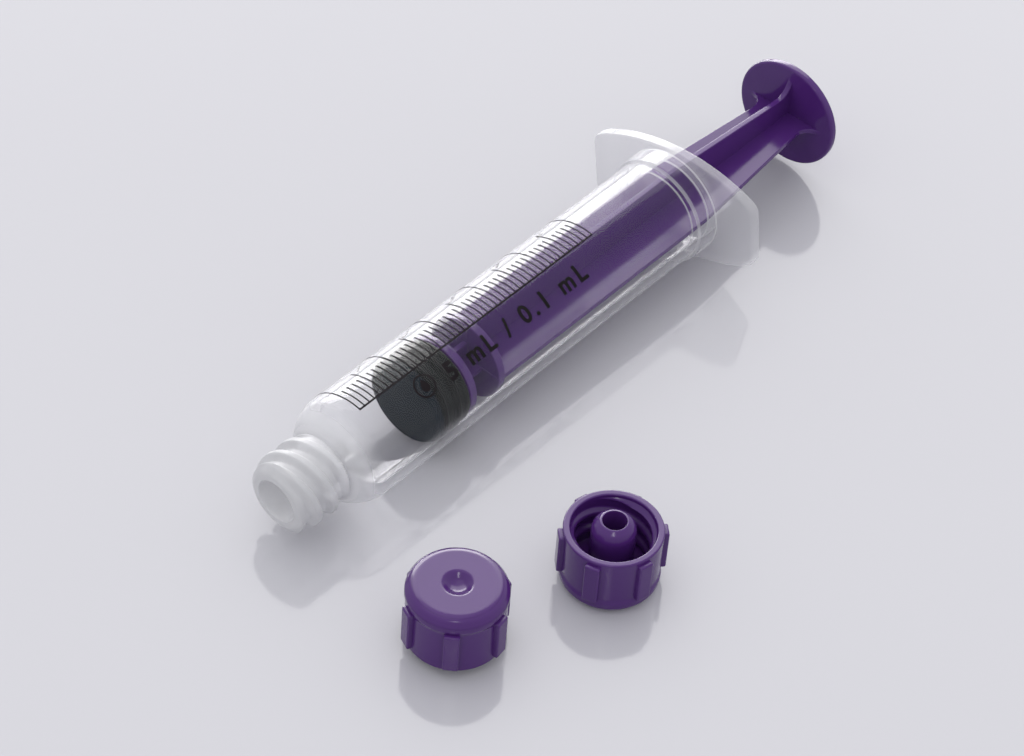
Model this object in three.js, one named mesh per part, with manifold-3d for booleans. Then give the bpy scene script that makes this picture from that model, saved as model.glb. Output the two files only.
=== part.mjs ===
// A 5 mL oral and enteral syringe lying on a table beside its two screw tip caps.
// Five moulded pieces: clear barrel, plunger rod, rubber stopper and two caps.
// Millimetres, +Z up. The syringe's axis runs along +X, tip first, a degree nose down:
// it lies on the front of the barrel and on the edge of its finger flange.
// The origin is on the table, under the middle of the whole group.
import * as THREE from "three";
import { mergeVertices } from "three/addons/utils/BufferGeometryUtils.js";
import Module from "manifold-3d";

const wasm = await Module();
wasm.setup();

// Barrel: stations along the axis are measured from the zero mark, where the bore ends.
const TUBE_R = 7.15, BORE_R = 6.12;
const FLANGE_X = 59.75, FLANGE_T = 1.6;
const FLANGE_HALF_W = 13.4, FLANGE_HALF_H = 8.0, FLANGE_END_H = 4.5;
const FLANGE_ROLL = 8; // degrees, the near wing is up
const COLLAR_X = 56.5, COLLAR_R = 7.6;
const TIP_X = -12.9, SHOULDER_X = -4.9;
const SOCKET_R = 2.85, SOCKET_END_X = -4.9, CHANNEL_R = 1.35;
const THREAD_R = 5.15, THREAD_ROOT_R = 4.3, THREAD_PITCH = 2.7, THREAD_STARTS = 2;

// Plunger rod and stopper, at the place where the plunger lies.
const STOPPER_X = 8.9, STOPPER_L = 5.8, STOPPER_R = 5.82;
const RIB_T = 0.75, RIB_R = 5.7, RIB_END_R = 3.8, TAPER_X = 60, TAPER_END_X = 80.4;
const DISC_X = 83.4, DISC_T = 1.1, DISC_R = 7.8;

// How the syringe lies: height of the axis at the zero mark and its tilt.
const AXIS_Z = 7.18, TILT = 0.97; // millimetres, degrees

// Tip cap: heights are measured from the closed face.
const CAP_RIM_H = 8.7, CAP_RIM_R = 6.02, CAP_MOUTH_R = 5.2, CAP_FACE_R = 4.98, CAP_BAND_R = 6.15;
const CAP_FLOOR = 1.4, POST_TOP = 9.97, POST_R = 2.72, POST_HOLE_R = 1.5, DIMPLE_R = 1.88;
const GRIP_R = 6.6, GRIP_W = 1.9, GRIP_FROM = 2.2, GRIP_TO = 8.1;
// Where each cap stands; grip is the compass angle of one of its grip ribs, in degrees from +X.
const CAP_DOWN = { x: -8.8, y: -25.46, grip: 37.5 }; // closed face up, on the tip of its post
const CAP_UP = { x: 11.15, y: -32.08, grip: 18 }; // closed face down

const ROUND = 40; // sides of a turned surface

const clear = new THREE.MeshStandardMaterial({ color: "#d9dae2", roughness: 0.12, metalness: 0 });
const purple = new THREE.MeshStandardMaterial({ color: "#5b3583", roughness: 0.3, metalness: 0 });
const purpleCap = new THREE.MeshStandardMaterial({ color: "#5a3688", roughness: 0.35, metalness: 0 });
const rubber = new THREE.MeshStandardMaterial({ color: "#12202a", roughness: 0.45, metalness: 0 });

// Joining and cutting of closed geometries.
function toSolid(geometry) {
  const g = geometry.clone();
  g.deleteAttribute("normal");
  g.deleteAttribute("uv");
  const merged = mergeVertices(g, 1e-4);
  const position = merged.attributes.position;
  const index = Array.from(merged.index.array);
  const kept = [];
  for (let i = 0; i < index.length; i += 3) {
    const [a, b, c] = [index[i], index[i + 1], index[i + 2]];
    if (a !== b && b !== c && c !== a) kept.push(a, b, c);
  }
  let volume = 0;
  const [p, q, r] = [new THREE.Vector3(), new THREE.Vector3(), new THREE.Vector3()];
  for (let i = 0; i < kept.length; i += 3) {
    p.fromBufferAttribute(position, kept[i]);
    q.fromBufferAttribute(position, kept[i + 1]);
    r.fromBufferAttribute(position, kept[i + 2]);
    volume += p.dot(q.cross(r));
  }
  if (volume < 0) {
    for (let i = 0; i < kept.length; i += 3) [kept[i], kept[i + 1]] = [kept[i + 1], kept[i]];
  }
  const vertProperties = new Float32Array(position.array);
  return new wasm.Manifold(new wasm.Mesh({ numProp: 3, vertProperties, triVerts: new Uint32Array(kept) }));
}

function toMesh(solid, name, material) {
  const m = solid.getMesh();
  const g = new THREE.BufferGeometry();
  g.setAttribute("position", new THREE.BufferAttribute(new Float32Array(m.vertProperties), 3));
  g.setIndex(new THREE.BufferAttribute(new Uint32Array(m.triVerts), 1));
  g.computeVertexNormals();
  const mesh = new THREE.Mesh(g, material);
  mesh.name = name;
  return mesh;
}

// A turned solid about the X axis: the profile is a list of [x, radius], on the axis at both ends.
function turned(profile, sides = ROUND) {
  const g = new THREE.LatheGeometry(profile.map(([x, r]) => new THREE.Vector2(r, x)), sides);
  return toSolid(g.rotateZ(-Math.PI / 2));
}

// A solid whose radius varies along and around the X axis, closed by a flat end on each side.
function wound(x0, x1, steps, sides, radius) {
  const points = [[x0, 0, 0]];
  for (let i = 0; i <= steps; i++) {
    const x = x0 + ((x1 - x0) * i) / steps;
    for (let j = 0; j < sides; j++) {
      const a = (2 * Math.PI * j) / sides;
      const r = radius(x, a);
      points.push([x, r * Math.cos(a), r * Math.sin(a)]);
    }
  }
  points.push([x1, 0, 0]);
  const last = points.length - 1, tri = [];
  const at = (i, j) => 1 + i * sides + (j % sides);
  for (let j = 0; j < sides; j++) {
    tri.push(0, at(0, j + 1), at(0, j), last, at(steps, j), at(steps, j + 1));
    for (let i = 0; i < steps; i++) {
      tri.push(at(i, j), at(i, j + 1), at(i + 1, j + 1), at(i, j), at(i + 1, j + 1), at(i + 1, j));
    }
  }
  const g = new THREE.BufferGeometry();
  g.setAttribute("position", new THREE.Float32BufferAttribute(points.flat(), 3));
  g.setIndex(tri);
  return toSolid(g);
}

// Height, 0 to 1, of a screw thread's ridge at a station x and an angle a round the axis.
function ridge(x, a, pitch, starts, half) {
  const turn = x / pitch - (a * starts) / (2 * Math.PI);
  const off = Math.abs(turn - Math.round(turn)) * pitch;
  return THREE.MathUtils.clamp((half - off) / (half * 0.55), 0, 1);
}

// A plate across the X axis, from its outline in Y and Z, between two stations.
function plate(shape, x0, x1, curveSegments = 12) {
  const g = new THREE.ExtrudeGeometry(shape, { depth: x1 - x0, bevelEnabled: false, curveSegments });
  const across = new THREE.Matrix4().makeBasis(
    new THREE.Vector3(0, 1, 0), new THREE.Vector3(0, 0, 1), new THREE.Vector3(1, 0, 0));
  return toSolid(g.applyMatrix4(across).translate(x0, 0, 0));
}

// ---- Barrel: threaded tip with a socket, rounded shoulder, tube, collar and finger flange.
function barrel() {
  const body = turned([
    [SHOULDER_X, 0], [SHOULDER_X, 4.7], [-4.75, 5.1], [-4.2, 5.75], [-3.3, 6.35], [-2.2, 6.85], [-1.1, 7.1],
    [-0.3, TUBE_R], [COLLAR_X, TUBE_R], [COLLAR_X + 0.25, COLLAR_R], [FLANGE_X + 0.4, COLLAR_R],
    [FLANGE_X + 0.4, 0],
  ]);
  const tip = wound(TIP_X, SHOULDER_X + 0.4, 24, ROUND, (x, a) => {
    const end = Math.min(1, Math.max(0, (x - TIP_X - 0.1) / 0.9));
    const fade = Math.min(1, (x - TIP_X) / 1.2, (SHOULDER_X + 0.2 - x) / 0.8);
    const grow = Math.max(0, fade) * ridge(x + 12.0, a - Math.PI / 2, THREAD_PITCH, THREAD_STARTS, 0.95);
    return THREAD_ROOT_R - 0.35 + 0.35 * end + (THREAD_R - THREAD_ROOT_R) * grow;
  });
  // Finger flange: straight ends, long arched edges, corners rounded.
  const rise = FLANGE_HALF_H - FLANGE_END_H;
  const arc = (FLANGE_HALF_W ** 2 + rise ** 2) / (2 * rise);
  const outline = [[-FLANGE_HALF_W, 3.4], [-13.3, 4.0], [-12.95, 4.6]];
  for (let i = 0; i <= 14; i++) {
    const y = -12.4 + (24.8 * i) / 14;
    outline.push([y, FLANGE_HALF_H - arc + Math.sqrt(arc ** 2 - y ** 2)]);
  }
  outline.push([12.95, 4.6], [13.3, 4.0], [FLANGE_HALF_W, 3.4]);
  const lower = outline.map(([y, z]) => [-y, -z]);
  const shape = new THREE.Shape([...outline, ...lower].map(([y, z]) => new THREE.Vector2(y, z)));
  const flange = plate(shape, FLANGE_X, FLANGE_X + FLANGE_T).rotate([-FLANGE_ROLL, 0, 0]);
  const bore = turned([
    [TIP_X - 1, 0], [TIP_X - 1, SOCKET_R + 0.15], [TIP_X, SOCKET_R + 0.15], [TIP_X + 0.3, SOCKET_R],
    [SOCKET_END_X, SOCKET_R - 0.12], [SOCKET_END_X, CHANNEL_R], [0, CHANNEL_R], [0, BORE_R - 0.5],
    [0.5, BORE_R], [COLLAR_X + 2.6, BORE_R], [FLANGE_X + FLANGE_T, BORE_R + 0.35],
    [FLANGE_X + FLANGE_T + 1, BORE_R + 0.35], [FLANGE_X + FLANGE_T + 1, 0],
  ]);
  return toMesh(body.add(tip).add(flange).subtract(bore), "barrel", clear);
}

// ---- Stopper: shallow coned face, two seal ribs, open behind for the head of the rod.
function stopper() {
  const x = STOPPER_X, end = STOPPER_X + STOPPER_L, r = STOPPER_R;
  const solid = turned([
    [x - 0.1, 0], [x + 0.2, r - 0.6], [x + 0.6, r - 0.2], [x + 0.85, r - 0.2], [10.05, r], [10.7, r],
    [11.0, r - 0.25], [12.0, r - 0.25], [12.3, r], [12.95, r], [13.25, r - 0.25], [13.8, r - 0.2],
    [14.1, r - 0.05], [end, r - 0.05], [end, 2.55], [13.75, 2.55], [13.45, 3.3], [12.2, 3.3],
    [11.5, 2.4], [11.3, 0],
  ]);
  return toMesh(solid, "stopper", rubber);
}

// ---- Plunger rod: snap-in head, two guide discs, four crossed ribs that taper, thumb disc.
function plungerRod() {
  const head = turned([
    [11.6, 0], [11.75, 2.0], [12.3, 2.95], [13.1, 2.95], [13.6, 2.2], [15.5, 2.2], [15.5, 0],
  ]);
  const disc = (x, r) => turned([
    [x, 0], [x, r - 0.15], [x + 0.2, r], [x + 1.0, r], [x + 1.2, r - 0.2], [x + 1.2, 0],
  ]);
  const flare = 2.4;
  const half = [
    [15.2, 3.0], [19.8, 3.0], [19.8, 5.5], [21.2, RIB_R], [TAPER_X, RIB_R], [TAPER_END_X, RIB_END_R],
  ];
  for (let i = 1; i <= 6; i++) {
    const a = (Math.PI / 2) * (i / 6);
    half.push([DISC_X - flare + flare * Math.sin(a), RIB_END_R - 0.1 + flare * (1 - Math.cos(a))]);
  }
  half.push([DISC_X + 0.3, RIB_END_R - 0.1 + flare]);
  const outline = [...half, ...half.map(([x, r]) => [x, -r]).reverse()];
  const rib = new THREE.Shape(outline.map(([x, r]) => new THREE.Vector2(x, r)));
  const leaf = new THREE.ExtrudeGeometry(rib, { depth: RIB_T, bevelEnabled: false });
  leaf.translate(0, 0, -RIB_T / 2);
  const level = toSolid(leaf);
  const upright = toSolid(leaf.clone().rotateX(Math.PI / 2));
  const thumb = turned([
    [DISC_X, 0], [DISC_X, DISC_R - 0.3], [DISC_X + 0.3, DISC_R], [DISC_X + DISC_T - 0.25, DISC_R],
    [DISC_X + DISC_T, DISC_R - 0.25], [DISC_X + DISC_T, 0],
  ]);
  const solid = head.add(disc(15.0, 5.7)).add(disc(20.0, 5.75)).add(level).add(upright).add(thumb);
  return toMesh(solid, "plunger_rod", purple);
}

// ---- Tip cap, built with its closed face at x = 0 and its mouth towards +X.
function tipCap(name) {
  const shell = turned([
    [0, 0], [0, CAP_FACE_R], [0.15, CAP_FACE_R + 0.45], [0.6, 5.85], [1.2, CAP_BAND_R], [1.9, CAP_BAND_R],
    [2.5, 5.95], [CAP_RIM_H - 0.6, CAP_RIM_R], [CAP_RIM_H - 0.2, CAP_RIM_R - 0.08],
    [CAP_RIM_H, CAP_RIM_R - 0.3], [CAP_RIM_H, 0],
  ]);
  // Inside: two-start thread that lets the syringe's threaded tip in.
  const room = wound(CAP_FLOOR, CAP_RIM_H + 0.4, 16, 32, (x, a) => {
    const lead = Math.min(1, Math.max(0, (CAP_RIM_H - 0.7 - x) / 0.8));
    return CAP_MOUTH_R - 0.6 * lead * ridge(x, a, THREAD_PITCH, THREAD_STARTS, 0.8);
  });
  const post = turned([
    [CAP_FLOOR - 0.3, 0], [CAP_FLOOR - 0.3, POST_R + 0.03], [POST_TOP - 1.5, POST_R],
    [POST_TOP - 0.9, POST_R - 0.2], [POST_TOP - 0.2, 1.95], [POST_TOP, POST_HOLE_R + 0.15], [POST_TOP, 0],
  ], 36);
  const hole = turned([
    [2.8, 0], [3.0, POST_HOLE_R - 0.1], [POST_TOP + 1, POST_HOLE_R], [POST_TOP + 1, 0],
  ], 24);
  const dimple = turned([[-1, 0], [-1, DIMPLE_R], [0, DIMPLE_R], [0.7, 1.1], [1.0, 0]], 24);
  let solid = shell.subtract(room).add(post).subtract(hole).subtract(dimple);
  for (let k = 0; k < 6; k++) {
    const grip = new THREE.BoxGeometry(GRIP_TO - GRIP_FROM, GRIP_R - 5.6, GRIP_W);
    grip.translate((GRIP_FROM + GRIP_TO) / 2, (GRIP_R + 5.6) / 2, 0).rotateX((k * Math.PI) / 3);
    solid = solid.add(toSolid(grip));
  }
  return toMesh(solid, name, purpleCap);
}

const object = new THREE.Group();
const all = new THREE.Group();
object.add(all);

const syringe = new THREE.Group();
syringe.add(barrel(), plungerRod(), stopper());
syringe.rotation.y = THREE.MathUtils.degToRad(-TILT);
syringe.position.z = AXIS_Z;
all.add(syringe);

// The cap that stands on its closed face, mouth up.
const up = tipCap("tip_cap_mouth_up");
up.rotation.set(THREE.MathUtils.degToRad(CAP_UP.grip - 90), -Math.PI / 2, 0, "ZYX");
up.position.set(CAP_UP.x, CAP_UP.y, 0);
// The cap that stands on its post, closed face up.
const down = tipCap("tip_cap_mouth_down");
down.rotation.set(THREE.MathUtils.degToRad(90 - CAP_DOWN.grip), Math.PI / 2, 0, "ZYX");
down.position.set(CAP_DOWN.x, CAP_DOWN.y, POST_TOP);
all.add(up, down);

object.updateMatrixWorld(true);
const box = new THREE.Box3().setFromObject(object, true);
all.position.set(-(box.min.x + box.max.x) / 2, -(box.min.y + box.max.y) / 2, -box.min.z);
object.updateMatrixWorld(true);

export default object;
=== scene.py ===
import math

import bmesh
import bpy
from mathutils import Matrix, Vector


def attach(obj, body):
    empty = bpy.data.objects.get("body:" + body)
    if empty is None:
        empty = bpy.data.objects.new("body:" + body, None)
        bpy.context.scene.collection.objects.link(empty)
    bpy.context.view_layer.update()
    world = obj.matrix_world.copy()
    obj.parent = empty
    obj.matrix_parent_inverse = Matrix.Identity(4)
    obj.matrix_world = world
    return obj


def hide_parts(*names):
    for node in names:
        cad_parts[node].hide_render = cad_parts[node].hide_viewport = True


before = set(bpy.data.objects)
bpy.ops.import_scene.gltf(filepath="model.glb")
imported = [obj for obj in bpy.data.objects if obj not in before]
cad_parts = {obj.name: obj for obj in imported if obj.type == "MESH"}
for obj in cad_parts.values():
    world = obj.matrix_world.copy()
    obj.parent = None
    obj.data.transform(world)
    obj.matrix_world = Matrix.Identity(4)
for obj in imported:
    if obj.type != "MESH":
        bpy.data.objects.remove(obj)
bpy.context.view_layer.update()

# ---- Camera.
# It stands in front of the tip, on the near side, and looks down at the plunger's middle
# through a long lens, with its horizon turned a few degrees.
focus = Vector((-0.007485, 0.010574, 0.0))
rise, compass, lean = math.radians(46.08), math.radians(-140.98), math.radians(4.43)
back = Vector((math.cos(rise) * math.cos(compass), math.cos(rise) * math.sin(compass), math.sin(rise)))
level = (-back).cross(Vector((0, 0, 1))).normalized()
upright = level.cross(-back)
across = math.cos(lean) * level + math.sin(lean) * upright
upward = math.cos(lean) * upright - math.sin(lean) * level
camera = bpy.data.objects.new("camera", bpy.data.cameras.new("camera"))
camera.data.sensor_width = 36
camera.data.lens = 111.37
camera.data.clip_start = 0.01
stand = Matrix((across, upward, back)).transposed().to_4x4()
camera.matrix_world = Matrix.Translation(focus + back * 0.400584) @ stand
bpy.context.collection.objects.link(camera)
bpy.context.scene.camera = camera

# ---- Table and light.
# A wide sheet of pale glossy acrylic under soft lights behind and above, a small one in
# front, two cards that only gloss and clear plastic show, and an even pale room.


class Wire:
    """One socket of a material's nodes. Arithmetic on it adds Math nodes."""

    def __init__(self, tree, socket=None):
        self.tree, self.socket = tree, socket

    def node(self, kind, settings=None, sockets=None, out=0):
        """Any other node: its type, its settings, then the values or links of its sockets."""
        made = self.tree.nodes.new("ShaderNode" + kind)
        for key, value in (settings or {}).items():
            if key == "stops":
                while len(made.color_ramp.elements) < len(value):
                    made.color_ramp.elements.new(1.0)
                for stop, (position, colour) in zip(made.color_ramp.elements, value):
                    stop.position, stop.color = position, colour
            else:
                setattr(made, key, value)
        for key, value in (sockets or {}).items():
            if isinstance(value, Wire):
                self.tree.links.new(value.socket, made.inputs[key])
            else:
                made.inputs[key].default_value = value
        return Wire(self.tree, made.outputs[out] if len(made.outputs) else None)

    def maths(self, operation, first, second):
        return self.node("Math", {"operation": operation}, {0: first, 1: second})

    def __add__(self, other):
        return self.maths("ADD", self, other)

    __radd__ = __add__

    def __sub__(self, other):
        return self.maths("SUBTRACT", self, other)

    def __rsub__(self, other):
        return self.maths("SUBTRACT", other, self)

    def __mul__(self, other):
        return self.maths("MULTIPLY", self, other)

    __rmul__ = __mul__


def finish(name):
    """A new material and the start of its nodes."""
    material = bpy.data.materials.new(name)
    material.use_nodes = True
    material.node_tree.nodes.clear()
    return material, Wire(material.node_tree)


def step(wire, start, end):
    """0 before start, 1 after end, smooth between."""
    return wire.node("MapRange", {"interpolation_type": "SMOOTHSTEP"},
                     {"Value": wire, "From Min": start, "From Max": end})


def tint(mask, plain, other):
    """The plain colour where the mask is 0 and the other where it is 1."""
    return mask.node("Mix", {"data_type": "RGBA"}, {0: mask, 6: plain, 7: other}, out=2)


acrylic, start = finish("pale acrylic")
place = start.node("TexCoord", out=3)
cloud = start.node("TexNoise", {}, {"Vector": place, "Scale": 9.0, "Detail": 2.0})
sheen = start.node("BsdfPrincipled", {}, {
    "Base Color": tint(cloud, (0.545, 0.541, 0.572, 1), (0.555, 0.551, 0.582, 1)),
    "Roughness": cloud * 0.04 + 0.07, "IOR": 1.5})
start.node("OutputMaterial", {}, {"Surface": sheen})

top = bmesh.new()
bmesh.ops.create_grid(top, x_segments=1, y_segments=1, size=1.5)
sheet = bpy.data.meshes.new("table")
top.to_mesh(sheet)
top.free()
sheet.materials.append(acrylic)
table = bpy.data.objects.new("table", sheet)
bpy.context.collection.objects.link(table)

room = bpy.data.worlds.new("room")
room.use_nodes = True
room.node_tree.nodes.clear()
walls = Wire(room.node_tree)
facing = walls.node("VectorMath", {"operation": "DOT_PRODUCT"}, {
    0: walls.node("TexCoord"), 1: (0.58, 0.58, 0.57)}, out=1)
glow = walls.node("Background", {}, {
    "Color": (0.96, 0.965, 1.0, 1), "Strength": step(facing, -1.1, 0.9) * 0.35 + 0.62})
walls.node("OutputWorld", {}, {"Surface": glow})
bpy.context.scene.world = room
bpy.context.scene.view_settings.view_transform = "Standard"


def softbox(name, spot, size, power, colour, card=False):
    """A soft light that faces the syringe. A card is only seen in glossy and clear surfaces."""
    lamp = bpy.data.lights.new(name, "AREA")
    lamp.shape, lamp.size, lamp.size_y = "RECTANGLE", size[0], size[1]
    lamp.energy, lamp.color = power, colour
    holder = bpy.data.objects.new(name, lamp)
    away = Vector(spot)
    holder.matrix_world = Matrix.Translation(away) @ away.to_track_quat("Z", "Y").to_matrix().to_4x4()
    holder.visible_diffuse = not card
    bpy.context.collection.objects.link(holder)


softbox("light behind", (0.49, 0.50, 0.68), (0.95, 0.65), 1.0, (1.0, 0.985, 0.985))
softbox("bright card behind", (0.52, 0.58, 0.50), (1.3, 1.1), 10.0, (1.0, 0.985, 0.985), card=True)
softbox("low card behind", (0.57, 0.76, 0.32), (0.9, 0.5), 9.0, (1.0, 0.985, 0.99), card=True)
softbox("light above", (-0.10, 0.20, 0.9), (0.7, 0.7), 0.6, (1.0, 0.985, 0.98))
softbox("light in front", (-0.40, -0.30, 0.56), (0.10, 0.05), 0.30, (1.0, 1.0, 1.0))

# ---- Barrel.
# One clear polypropylene moulding: threaded tip round a socket, rounded shoulder, tube,
# collar and winged finger flange. Thin walls are clear, the thick tip comes out milky.

# Every piece of the syringe is made in millimetres along its own axis, X, from the zero mark.
# It lies on the front of its tube and on its flange, so the axis rises towards the thumb.
ZERO_MARK = Vector((-0.034676, 0.012495, 0.00718))
TILT = math.radians(0.97)
LIE = Matrix.Translation(ZERO_MARK) @ Matrix.Rotation(-TILT, 4, "Y")
TUBE_R, BORE_R = 7.15, 6.12
TIP_END, TIP_ROOT, TIP_R, TIP_RIDGE = -12.9, -4.9, 4.3, 0.85
FLANGE_FRONT, FLANGE_THICK, FLANGE_ARC = 59.75, 1.6, 27.4


def corners(*points):
    """Points of an outline. A third number rounds that corner, by its run along both edges."""
    made = []
    for i, point in enumerate(points):
        spot = Vector(point[:2])
        if len(point) < 3 or i in (0, len(points) - 1):
            made.append(spot)
            continue
        before, after = Vector(points[i - 1][:2]) - spot, Vector(points[i + 1][:2]) - spot
        run = min(point[2], 0.45 * before.length, 0.45 * after.length)
        rest = min(0.05, 0.2 * run)
        a, b = spot + before.normalized() * run, spot + after.normalized() * run
        made.append(a + before.normalized() * rest)
        for k in range(6):
            t = k / 5
            made.append(a * (1 - t) ** 2 + spot * (2 * t * (1 - t)) + b * t ** 2)
        made.append(b + after.normalized() * rest)
    return made


def rings(start, end, radius, gap):
    """Evenly spaced points of an outline from one station to another, at one radius."""
    count = max(1, round(abs(end - start) / gap))
    return [Vector((start + (end - start) * k / count, radius)) for k in range(count + 1)]


def flow(points, count=4):
    """A smooth curve through the points."""
    points = [Vector(p) for p in points]
    ends = [2 * points[0] - points[1], *points, 2 * points[-1] - points[-2]]
    made = []
    for a, b, c, d in zip(ends, ends[1:], ends[2:], ends[3:]):
        for k in range(count):
            t = k / count
            made.append(0.5 * (2 * b + (c - a) * t + (2 * a - 5 * b + 4 * c - d) * t ** 2
                               + (3 * b - a - 3 * c + d) * t ** 3))
    return made + [points[-1]]


def turned(outline, sides=96):
    """A solid turned round the X axis from an outline that starts and ends on the axis."""
    solid = bmesh.new()
    points = [solid.verts.new((x, 0, r)) for x, r in outline]
    edges = [solid.edges.new(pair) for pair in zip(points, points[1:])]
    bmesh.ops.spin(solid, geom=points + edges, cent=(0, 0, 0), axis=(1, 0, 0),
                   angle=2 * math.pi, steps=sides, use_merge=True)
    bmesh.ops.remove_doubles(solid, verts=solid.verts, dist=2e-4)
    bmesh.ops.dissolve_degenerate(solid, edges=solid.edges, dist=1e-5)
    bmesh.ops.recalc_face_normals(solid, faces=solid.faces)
    return solid


def shape(solid):
    """The mesh of a finished bmesh."""
    mesh = bpy.data.meshes.new("shape")
    solid.to_mesh(mesh)
    solid.free()
    return mesh


def joined(base, *tools, operation="UNION"):
    """The base mesh with each tool welded to it or cut out of it."""
    for tool in tools:
        held = [bpy.data.objects.new("held", mesh) for mesh in (base, tool)]
        for piece in held:
            bpy.context.collection.objects.link(piece)
        weld = held[0].modifiers.new("weld", "BOOLEAN")
        weld.object, weld.operation, weld.solver = held[1], operation, "EXACT"
        graph = bpy.context.evaluated_depsgraph_get()
        base = bpy.data.meshes.new_from_object(held[0].evaluated_get(graph), depsgraph=graph)
        for piece in held:
            bpy.data.objects.remove(piece)
    return base


def settle(name, mesh, material, lie, body, crease=32):
    """Turns a mesh in millimetres into a finished piece in its place."""
    mesh.name = name
    mesh.transform(lie @ Matrix.Scale(0.001, 4))
    mesh.shade_smooth()
    mesh.set_sharp_from_angle(angle=math.radians(crease))
    mesh.materials.clear()
    mesh.materials.append(material)
    piece = bpy.data.objects.new(name, mesh)
    bpy.context.collection.objects.link(piece)
    even = piece.modifiers.new("even shading", "WEIGHTED_NORMAL")
    even.keep_sharp = True
    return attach(piece, body)


def thread(station, angle, half, pitch=2.7, starts=2):
    """Height, 0 to 1, of a screw thread's rounded ridge at a place on a cylinder."""
    along = station / pitch - angle * starts / (2 * math.pi)
    off = abs(along - round(along)) * pitch
    t = min(1.0, max(0.0, (half - off) / (half * 0.7)))
    return t * t * (3 - 2 * t)


body = turned(
    corners((TIP_END, 0), (TIP_END, 3.95, 0.5), (-12.2, TIP_R, 0.5), (-12.0, TIP_R))
    + rings(-11.95, -5.05, TIP_R, 0.11)
    + corners((-4.98, TIP_R), (TIP_ROOT, 4.42, 0.05), (TIP_ROOT, 4.66))
    + flow([(-4.88, 4.72), (-4.72, 5.1), (-4.2, 5.75), (-3.3, 6.35), (-2.2, 6.85), (-1.1, 7.1),
            (-0.3, TUBE_R)])
    + rings(0.1, 56.1, TUBE_R, 2.8)
    + corners((56.3, TUBE_R), (56.5, TUBE_R, 0.1), (56.75, 7.6, 0.15), (60.5, 7.6), (60.5, 0)), 120)
for vert in body.verts:
    x, y, z = vert.co
    r = math.hypot(y, z)
    if x < -4.95 and r > 3.6:
        fade = max(0.0, min(1.0, (x - TIP_END) / 1.1, (-4.75 - x) / 0.8))
        grow = fade * thread(x + 12.0, math.atan2(z, y) - math.pi / 2, 1.0)
        vert.co.y, vert.co.z = y * (1 + TIP_RIDGE * grow / r), z * (1 + TIP_RIDGE * grow / r)

# The flange: a plate with straight ends, long arched edges and all its rims rounded.
wing = bmesh.new()
half = ([(-13.4, 0), (-13.4, 3.2), (-13.3, 3.9), (-13.0, 4.45), (-12.5, 4.85)]
        + [(y, 8.0 - FLANGE_ARC + math.sqrt(FLANGE_ARC ** 2 - y * y))
           for y in [-11.6 + 0.8 * k for k in range(30)]]
        + [(12.5, 4.85), (13.0, 4.45), (13.3, 3.9), (13.4, 3.2)])
rim = [wing.verts.new((FLANGE_FRONT, y, z)) for y, z in half + [(-y, -z) for y, z in half]]
plate = wing.faces.new(rim)
grown = bmesh.ops.extrude_face_region(wing, geom=[plate])
backs = [g for g in grown["geom"] if isinstance(g, bmesh.types.BMVert)]
bmesh.ops.translate(wing, vec=(FLANGE_THICK, 0, 0), verts=backs)
bmesh.ops.recalc_face_normals(wing, faces=wing.faces)
edge = [e for e in wing.edges if abs(e.verts[0].co.x - e.verts[1].co.x) < 0.01]
bmesh.ops.bevel(wing, geom=edge, affect="EDGES", offset=0.3, segments=4, profile=0.5, material=-1,
                clamp_overlap=True)
bmesh.ops.rotate(wing, cent=(0, 0, 0), matrix=Matrix.Rotation(math.radians(-8), 3, "X"),
                 verts=wing.verts)

bore = turned(corners(
    (-14, 0), (-14, 3.0), (-12.95, 3.0), (-12.6, 2.85, 0.2), (-4.9, 2.73, 0.2), (-4.9, 1.35, 0.12),
    (-0.1, 1.35, 0.2), (0.0, 5.5, 0.3), (0.55, BORE_R, 0.3), (1.5, BORE_R))
    + rings(3.5, 57.5, BORE_R, 2.7)
    + corners((58.5, BORE_R), (59.1, BORE_R, 0.4), (61.5, 6.5), (62.5, 6.5), (62.5, 0)), 120)
moulding = joined(joined(shape(body), shape(wing)), shape(bore), operation="DIFFERENCE")



def along_axis(start):
    """Millimetres along and across the syringe, from the zero mark on its axis."""
    return start.node("Mapping", {}, {
        "Vector": start.node("TexCoord", out=3), "Rotation": (0, TILT, 0), "Scale": (1000, 1000, 1000),
        "Location": Matrix.Rotation(TILT, 4, "Y") @ ZERO_MARK * -1000})


# The thin wall is a clear shell: light passes straight through it, its outward faces carry the gloss, and
# it clouds where it gets thick. Where it turns away it is painted pale, partly the plastic's own clouding
# and partly a painted highlight and painted reflection of the bright floor along its edges.
clear, start = finish("clear polypropylene")
syringe_mm = along_axis(start)
station = start.node("SeparateXYZ", {}, {0: syringe_mm}, out=0)
drift = start.node("TexNoise", {}, {"Vector": syringe_mm, "Scale": 0.35, "Detail": 3.0, "Roughness": 0.6})
fine = start.node("TexNoise", {}, {"Vector": syringe_mm, "Scale": 3.0, "Detail": 2.0})
thick = 1 - step(station, -5.6, -0.6)
flange = step(station, 59.3, 59.9)
slant = start.node("LayerWeight", {}, {"Blend": 0.5}, out=1)
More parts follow.
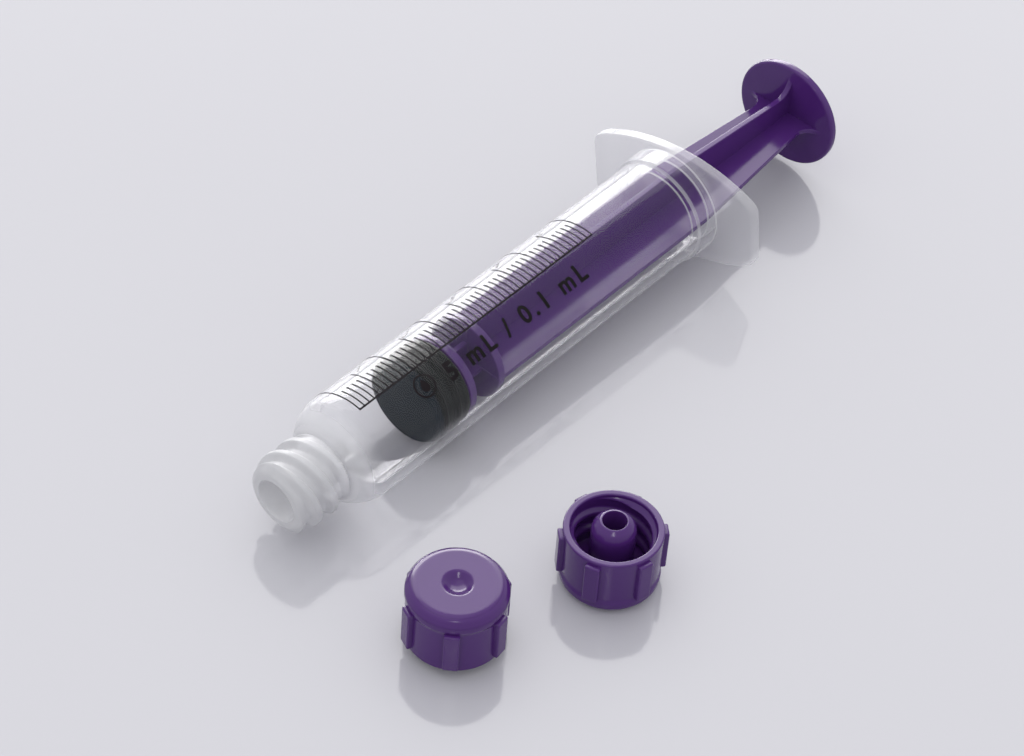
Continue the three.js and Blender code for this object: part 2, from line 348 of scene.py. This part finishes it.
# The collar's front step and the joint with the flange get two pale rings painted on, a painted highlight
# where these edges catch the light.
steps = (step(station, 56.3, 56.5) * (1 - step(station, 56.65, 56.8))
         + step(station, 59.35, 59.5) * (1 - step(station, 59.65, 59.8)))
# The mix is the thick tip's and flange's own clouding, plus painted pale rings at the steps and a painted
# edge highlight where the thin wall turns away.
milk_and_painted_edge_light = (thick * 0.62 + flange * 0.20 + 0.007 + (drift - 0.5) * 0.008 + steps * 0.30
        + step(slant, 0.48, 0.97) * (1 - thick) * (1 - flange * 0.45) * 0.42)
through = start.node("BsdfTransparent", {}, {"Color": (0.985, 0.985, 0.99, 1)})
shine = start.node("BsdfAnisotropic", {}, {
    "Color": (1, 1, 1, 1), "Roughness": thick * 0.20 + flange * 0.10 + fine * 0.02 + 0.09})
within = start.node("NewGeometry", out=6)
mirror = (start.maths("POWER", slant, 2.8) * 0.40 + 0.014) * (1 - within)
see = start.node("MixShader", {}, {0: mirror, 1: through, 2: shine})
cloudy = start.node("BsdfPrincipled", {}, {
    "Base Color": tint(thick, tint(drift, (0.90, 0.90, 0.91, 1), (0.95, 0.95, 0.96, 1)),
                       tint(drift, (0.70, 0.70, 0.715, 1), (0.77, 0.77, 0.78, 1))),
    "Roughness": thick * 0.15 + fine * 0.05 + 0.25, "IOR": 1.4, "Specular IOR Level": 0.35})
wall = start.node("MixShader", {}, {0: milk_and_painted_edge_light, 1: see, 2: cloudy})
start.node("OutputMaterial", {}, {"Surface": wall})

barrel = settle("clear_barrel_moulding", moulding, clear, LIE, "barrel")
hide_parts("barrel")

# ---- Printing on the barrel.
# Dark ink screened on the tube: a scale of 50 marks, its numerals on the far side of the long
# marks, a plain ring with a drop, and the capacity with the value of one division.

INK_R = TUBE_R + 0.035
flat = bmesh.new()


def bar(u, v, long, tall):
    """A printed bar on the unrolled tube, centred at (u, v)."""
    bmesh.ops.create_grid(flat, x_segments=1, y_segments=1, size=0.5,
                          matrix=Matrix.Translation((u, v, 0)) @ Matrix.Diagonal((long, tall, 1, 1)))


def words(text, u, v, size, spacing=1.0, align="CENTER", weight=0.0):
    """Printed letters on the unrolled tube, standing on (u, v)."""
    letters = bpy.data.curves.new("letters", "FONT")
    letters.body, letters.size, letters.space_character = text, size, spacing
    letters.align_x, letters.offset, letters.resolution_u = align, weight, 3
    holder = bpy.data.objects.new("letters", letters)
    bpy.context.collection.objects.link(holder)
    graph = bpy.context.evaluated_depsgraph_get()
    mesh = bpy.data.meshes.new_from_object(holder.evaluated_get(graph), depsgraph=graph)
    bpy.data.objects.remove(holder)
    mesh.transform(Matrix.Translation((u, v, 0)))
    flat.from_mesh(mesh)
    bpy.data.meshes.remove(mesh)


DIVISION, DIVISIONS, LINE_END = 0.835, 50, -1.27
scale_long = DIVISION * DIVISIONS
bar(scale_long / 2, LINE_END, scale_long + 0.24, 0.26)
for mark in range(DIVISIONS + 1):
    reach = 7.7 if mark % 10 == 0 else 4.6 if mark % 5 == 0 else 2.6
    bar(mark * DIVISION, (reach + LINE_END) / 2, 0.2, reach - LINE_END)
    if mark and mark % 10 == 0:
        words(str(mark // 10), mark * DIVISION, 8.2, 3.0, weight=0.06)
words("5 mL / 0.1 mL", 12.2, -5.3, 3.3, spacing=1.33, align="LEFT", weight=0.10)

# The ring, and in it a drop: a disc whose upper half is drawn out to a point.
RING_U, RING_V, RING_R, RING_IN, DROP_R = 8.8, -3.75, 1.55, 1.3, 0.62
ring = bmesh.ops.create_circle(flat, cap_ends=False, segments=40, radius=RING_R,
                               matrix=Matrix.Translation((RING_U, RING_V, 0)))
hoop = bmesh.ops.extrude_edge_only(flat, edges=list({e for v in ring["verts"] for e in v.link_edges}))
moved = [g for g in hoop["geom"] if isinstance(g, bmesh.types.BMVert)]
bmesh.ops.scale(flat, vec=(RING_IN / RING_R, RING_IN / RING_R, 1), verts=moved,
                space=Matrix.Translation((-RING_U, -RING_V, 0)))
drop = bmesh.ops.create_circle(flat, cap_ends=True, segments=40, radius=DROP_R,
                               matrix=Matrix.Translation((RING_U, RING_V - 0.2, 0)))
for vert in drop["verts"]:
    above = max(0.0, vert.co.y - RING_V + 0.2)
    vert.co.x = RING_U + (vert.co.x - RING_U) * (1 - 0.55 * above / DROP_R)
    vert.co.y += above * 0.75

# The flat print is cut into narrow strips and rolled on to the tube.
for k in range(-16, 24):
    bmesh.ops.bisect_plane(flat, geom=flat.verts[:] + flat.edges[:] + flat.faces[:],
                           plane_co=(0, k * 0.5, 0), plane_no=(0, 1, 0), dist=1e-5)
for face in flat.faces:
    if face.normal.z < 0:
        face.normal_flip()
for vert in flat.verts:
    turn = vert.co.y / TUBE_R
    vert.co = Vector((vert.co.x, INK_R * math.sin(turn), INK_R * math.cos(turn)))

ink, start = finish("screened ink")
spot = start.node("TexCoord", out=3)
wear = start.node("TexNoise", {}, {"Vector": spot, "Scale": 900.0, "Detail": 2.0})
start.node("OutputMaterial", {}, {"Surface": start.node("BsdfPrincipled", {}, {
    "Base Color": tint(wear, (0.006, 0.004, 0.006, 1), (0.016, 0.012, 0.014, 1)),
    "Roughness": wear * 0.2 + 0.5, "Specular IOR Level": 0.08})})
settle("printed_scale", shape(flat), ink, LIE, "barrel", crease=60)

# ---- Stopper.
# Black rubber moulding pressed on the rod's head: a shallow coned face, two seal ribs that
# press on the bore, and a soft rear rim. It is thinly oiled.
plug = turned(corners(
    (8.8, 0), (9.1, 5.5, 0.4), (9.5, 5.75, 0.2), (9.8, 5.75, 0.15), (10.05, 6.08, 0.2), (10.7, 6.08, 0.2),
    (11.0, 5.66, 0.2), (12.0, 5.66, 0.2), (12.3, 6.08, 0.2), (12.95, 6.08, 0.2), (13.25, 5.6, 0.2),
    (13.8, 5.6, 0.2), (14.1, 5.9, 0.2), (14.7, 5.9, 0.25), (14.7, 2.55, 0.2), (13.75, 2.55, 0.15),
    (13.45, 3.3, 0.15), (12.2, 3.3, 0.2), (11.5, 2.4, 0.2), (11.3, 0)), 120)

rubber, start = finish("oiled black rubber")
spot = start.node("TexCoord", out=3)
along = start.node("SeparateXYZ", {}, {0: along_axis(start)}, out=0)
# The front face is painted bluer than the side, a painted reflection on the face that looks forward, and
# the ribs are painted near black where they press on the bore, a painted contact shade.
# Painted contact shade: the ribs are painted near black where they press on the bore.
painted_rib_contact_shade = (step(along, 9.8, 10.05) * (1 - step(along, 10.7, 10.9))
       + step(along, 12.1, 12.3) * (1 - step(along, 12.95, 13.15)))
# rear is 0 on the front face, where the bluish painted reflection is laid, and 1 on the plain grey side.
rear = step(along, 9.7, 11.2)
cloud = start.node("TexNoise", {}, {"Vector": spot, "Scale": 260.0, "Detail": 3.0})
grain = start.node("TexNoise", {}, {"Vector": spot, "Scale": 2600.0, "Detail": 2.0})
bump = start.node("Bump", {}, {"Height": grain, "Strength": 0.06, "Distance": 0.0001})
start.node("OutputMaterial", {}, {"Surface": start.node("BsdfPrincipled", {}, {
    "Base Color": tint(painted_rib_contact_shade, tint(rear, tint(cloud, (0.004, 0.010, 0.017, 1), (0.007, 0.015, 0.023, 1)),
                                 (0.008, 0.010, 0.010, 1)), (0.001, 0.002, 0.002, 1)),
    "Roughness": cloud * 0.12 + 0.42, "Normal": bump, "IOR": 1.5, "Specular IOR Level": 0.12})})
stopper = settle("rubber_stopper", shape(plug), rubber, LIE, "plunger")
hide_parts("stopper")

# ---- Plunger rod.
# One purple moulding: a snap-in head inside the stopper, two guide discs, four crossed ribs
# that taper towards the thumb and flare on to the thumb disc.
RIB_THICK = 0.75


def leaf(turn):
    """One pair of ribs, a blade along the axis with rounded long edges."""
    blade = bmesh.new()
    side = ([(15.3, 2.9), (19.9, 2.9), (19.9, 5.45), (21.2, 5.7), (40, 5.7), (60, 5.7), (70.2, 4.75),
             (80.4, 3.8)]
            + [(81.0 + 2.4 * math.sin(a), 3.72 + 2.4 * (1 - math.cos(a)))
               for a in [math.pi / 2 * k / 8 for k in range(1, 9)]] + [(83.75, 6.12)])
    loop = [blade.verts.new((x, r, -RIB_THICK / 2)) for x, r in side]
    loop += [blade.verts.new((x, -r, -RIB_THICK / 2)) for x, r in reversed(side)]
    sheet = blade.faces.new(loop)
    grown = bmesh.ops.extrude_face_region(blade, geom=[sheet])
    tops = [g for g in grown["geom"] if isinstance(g, bmesh.types.BMVert)]
    bmesh.ops.translate(blade, vec=(0, 0, RIB_THICK), verts=tops)
    bmesh.ops.recalc_face_normals(blade, faces=blade.faces)
    long = [e for e in blade.edges if abs(e.verts[0].co.z - e.verts[1].co.z) < 0.01]
    bmesh.ops.bevel(blade, geom=long, affect="EDGES", offset=0.12, segments=3, profile=0.5, material=-1,
                    clamp_overlap=True)
    bmesh.ops.rotate(blade, cent=(0, 0, 0), matrix=Matrix.Rotation(math.radians(turn), 3, "X"),
                     verts=blade.verts)
    return shape(blade)


guide = [turned(corners((x, 0), (x, r, 0.2), (x + 1.2, r, 0.25), (x + 1.2, 0))) for x, r in
         ((15.0, 5.7), (20.0, 5.75))]
head = turned(corners((11.6, 0), (11.75, 2.0, 0.2), (12.3, 2.95, 0.2), (13.1, 2.95, 0.2), (13.6, 2.2, 0.2),
                      (15.6, 2.2), (15.6, 0)))
thumb = turned(corners((83.4, 0), (83.4, 7.8, 0.42), (84.5, 7.8, 0.35), (84.5, 0)), 120)
rod = joined(leaf(0), leaf(90), shape(head), shape(guide[0]), shape(guide[1]), shape(thumb))


def purple(name, dark, light, rough):
    """Dyed polypropylene: slow drifts of tone and gloss, and a faint moulded skin."""
    material, start = finish(name)
    spot = start.node("TexCoord", out=3)
    cloud = start.node("TexNoise", {}, {"Vector": spot, "Scale": 120.0, "Detail": 3.0, "Roughness": 0.6})
    skin = start.node("TexNoise", {}, {"Vector": spot, "Scale": 1500.0, "Detail": 2.0})
    bump = start.node("Bump", {}, {"Height": skin, "Strength": 0.05, "Distance": 0.00005})
    start.node("OutputMaterial", {}, {"Surface": start.node("BsdfPrincipled", {}, {
        "Base Color": tint(cloud, dark, light), "Roughness": cloud * 0.14 + rough, "Normal": bump,
        "IOR": 1.5, "Specular IOR Level": 0.4})})
    return material


dyed = purple("purple rod plastic", (0.068, 0.017, 0.150, 1), (0.084, 0.024, 0.178, 1), 0.07)
plunger = settle("purple_plunger_rod", rod, dyed, LIE, "plunger")
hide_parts("plunger_rod")

# ---- Tip caps.
# Two alike purple mouldings: a closed face with a dimple, a band, six grip ribs, a rounded rim,
# a two-start thread inside and a hollow post that stands out of the mouth.
cup = turned(
    corners((1.0, 0), (0.72, 1.0, 0.3), (0.0, 1.88, 0.22), (0.0, 4.95, 0.35), (0.28, 5.62, 0.4),
            (0.95, 6.08, 0.3), (1.25, 6.15, 0.15), (1.85, 6.15, 0.15), (2.35, 5.96, 0.3), (8.1, 6.05),
            (8.7, 6.06, 0.24), (8.7, 5.2, 0.22), (8.2, 5.2))
    + rings(8.15, 1.7, 5.2, 0.11)
    + corners((1.65, 5.2), (1.4, 5.2, 0.15), (1.4, 2.75, 0.35), (8.65, 2.72, 0.45), (9.4, 2.36, 0.3),
              (9.92, 1.76, 0.08), (9.97, 1.62, 0.04), (9.97, 1.5, 0.03), (3.0, 1.4, 0.2), (2.8, 0)), 120)
for vert in cup.verts:
    x, y, z = vert.co
    r = math.hypot(y, z)
    if 1.6 < x < 8.25 and 4.9 < r < 5.4:
        fade = max(0.0, min(1.0, (8.2 - x) / 0.5, (x - 1.6) / 0.5))
        grow = fade * thread(x, math.atan2(z, y), 0.85)
        vert.co.y, vert.co.z = y * (1 - 0.6 * grow / r), z * (1 - 0.6 * grow / r)
grips = []
for k in range(6):
    grip = bmesh.new()
    bmesh.ops.create_cube(grip, size=1, matrix=Matrix.Translation((5.15, 6.1, 0))
                          @ Matrix.Diagonal((5.9, 1.0, 1.9, 1)))
    outer = [e for e in grip.edges if max(v.co.y for v in e.verts) > 6.4]
    bmesh.ops.bevel(grip, geom=outer, affect="EDGES", offset=0.22, segments=3, profile=0.5, material=-1,
                    clamp_overlap=True)
    bmesh.ops.rotate(grip, cent=(0, 0, 0), matrix=Matrix.Rotation(math.radians(60 * k), 3, "X"),
                     verts=grip.verts)
    grips.append(shape(grip))
cap_shape = joined(shape(cup), *grips)

satin = purple("purple cap plastic", (0.066, 0.016, 0.146, 1), (0.082, 0.023, 0.172, 1), 0.13)
stands = {
    "cap_mouth_up": (Matrix.Translation((-0.023526, -0.019585, 0))
                     @ Matrix.Rotation(math.radians(-90), 4, "Y")
                     @ Matrix.Rotation(math.radians(-72), 4, "X")),
    "cap_mouth_down": (Matrix.Translation((-0.043476, -0.012965, 0.00997))
                       @ Matrix.Rotation(math.radians(90), 4, "Y")
                       @ Matrix.Rotation(math.radians(52.5), 4, "X")),
}
for cap_body, stand in stands.items():
    cap = settle("purple_" + cap_body, cap_shape.copy(), satin, stand, cap_body)
    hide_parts("tip_" + cap_body)
